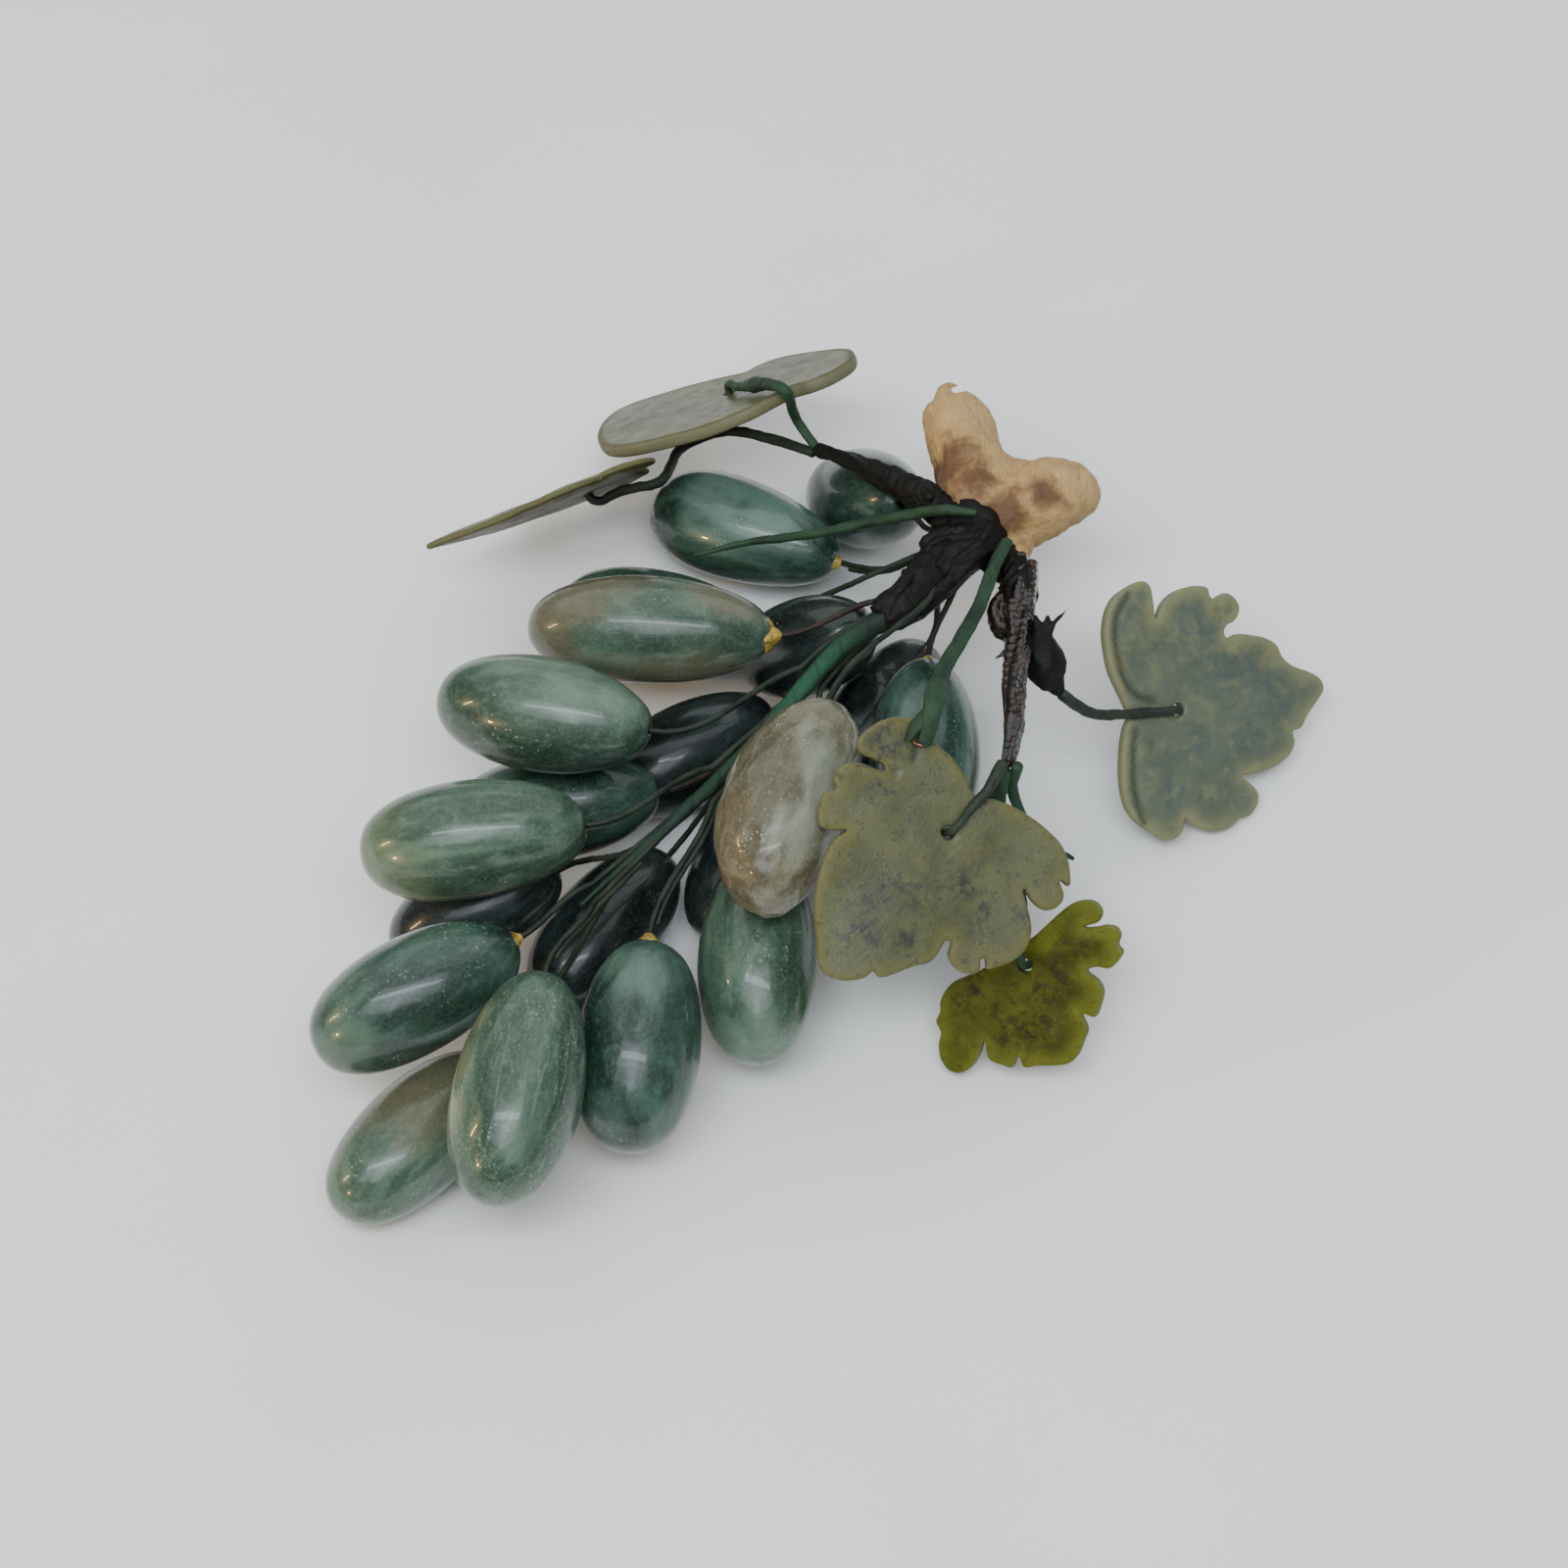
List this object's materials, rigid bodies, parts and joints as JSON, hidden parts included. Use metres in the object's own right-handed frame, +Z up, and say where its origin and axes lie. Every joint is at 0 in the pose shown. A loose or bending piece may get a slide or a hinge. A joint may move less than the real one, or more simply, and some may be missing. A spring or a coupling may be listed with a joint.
{
  "type": "hardstone grape bunch",
  "caption": "Bunch of polished hardstone grapes on taped wires, with thin carved stone leaves and a forked wooden stem, lying on its side as a table ornament.",
  "frame": {"origin": "middle of the bunch's footprint, on the bench that it lies on", "axes": "+Z up, +Y from the tip of the bunch towards its wooden stem side, +X to the side of the front leaves"},
  "size_m": [0.1502, 0.156, 0.0509],
  "materials": {
    "stone_teal": "polished",
    "stone_sage": "polished",
    "stone_dusk": "polished",
    "stone_brown": "polished, partly pitted",
    "leaf_olive": "polished",
    "leaf_grey": "polished",
    "leaf_yellow": "polished",
    "green_tape": "matt waxed paper tape",
    "dark_tape": "glossy wound thread and tape",
    "wood": "bare"
  },
  "bodies": {
    "root": {"rachis": "dark_tape", "grape_01": "stone_teal", "grape_02": "stone_teal", "grape_03": "stone_brown", "grape_04": "stone_sage", "grape_05": "stone_sage", "grape_06": "stone_teal", "grape_07": "stone_brown", "grape_08": "stone_sage", "grape_09": "stone_teal", "grape_10": "stone_teal", "grape_11": "stone_brown", "grape_12": "stone_dusk", "grape_13": "stone_dusk", "grape_14": "stone_teal", "grape_15": "stone_dusk", "grape_16": "stone_dusk", "grape_17": "stone_teal", "grape_18": "stone_dusk", "grape_19": "stone_teal", "grape_20": "stone_dusk", "grape_wire_01": "green_tape", "grape_wire_02": "green_tape", "grape_wire_03": "green_tape", "grape_wire_04": "green_tape", "grape_wire_05": "green_tape", "grape_wire_06": "green_tape", "grape_wire_07": "green_tape", "grape_wire_08": "green_tape", "grape_wire_09": "green_tape", "grape_wire_10": "green_tape", "grape_wire_11": "green_tape", "grape_wire_12": "green_tape", "grape_wire_13": "green_tape", "grape_wire_14": "green_tape", "grape_wire_15": "green_tape", "grape_wire_16": "green_tape", "grape_wire_17": "green_tape", "grape_wire_18": "green_tape", "grape_wire_19": "green_tape", "grape_wire_20": "green_tape", "leaf_1": "leaf_olive", "leaf_2": "leaf_grey", "leaf_3": "leaf_yellow", "leaf_4": "leaf_olive", "leaf_5": "leaf_olive", "side_branch": "dark_tape", "back_branch": "dark_tape", "bud": "dark_tape", "leaf_wire_1": "green_tape", "leaf_wire_2": "green_tape", "leaf_wire_3": "green_tape", "leaf_wire_4": "green_tape", "leaf_wire_5": "green_tape", "loose_wire_1": "green_tape", "loose_wire_2": "green_tape", "loose_wire_3": "green_tape", "wood_stem": "wood"}
  },
  "joints": []
}
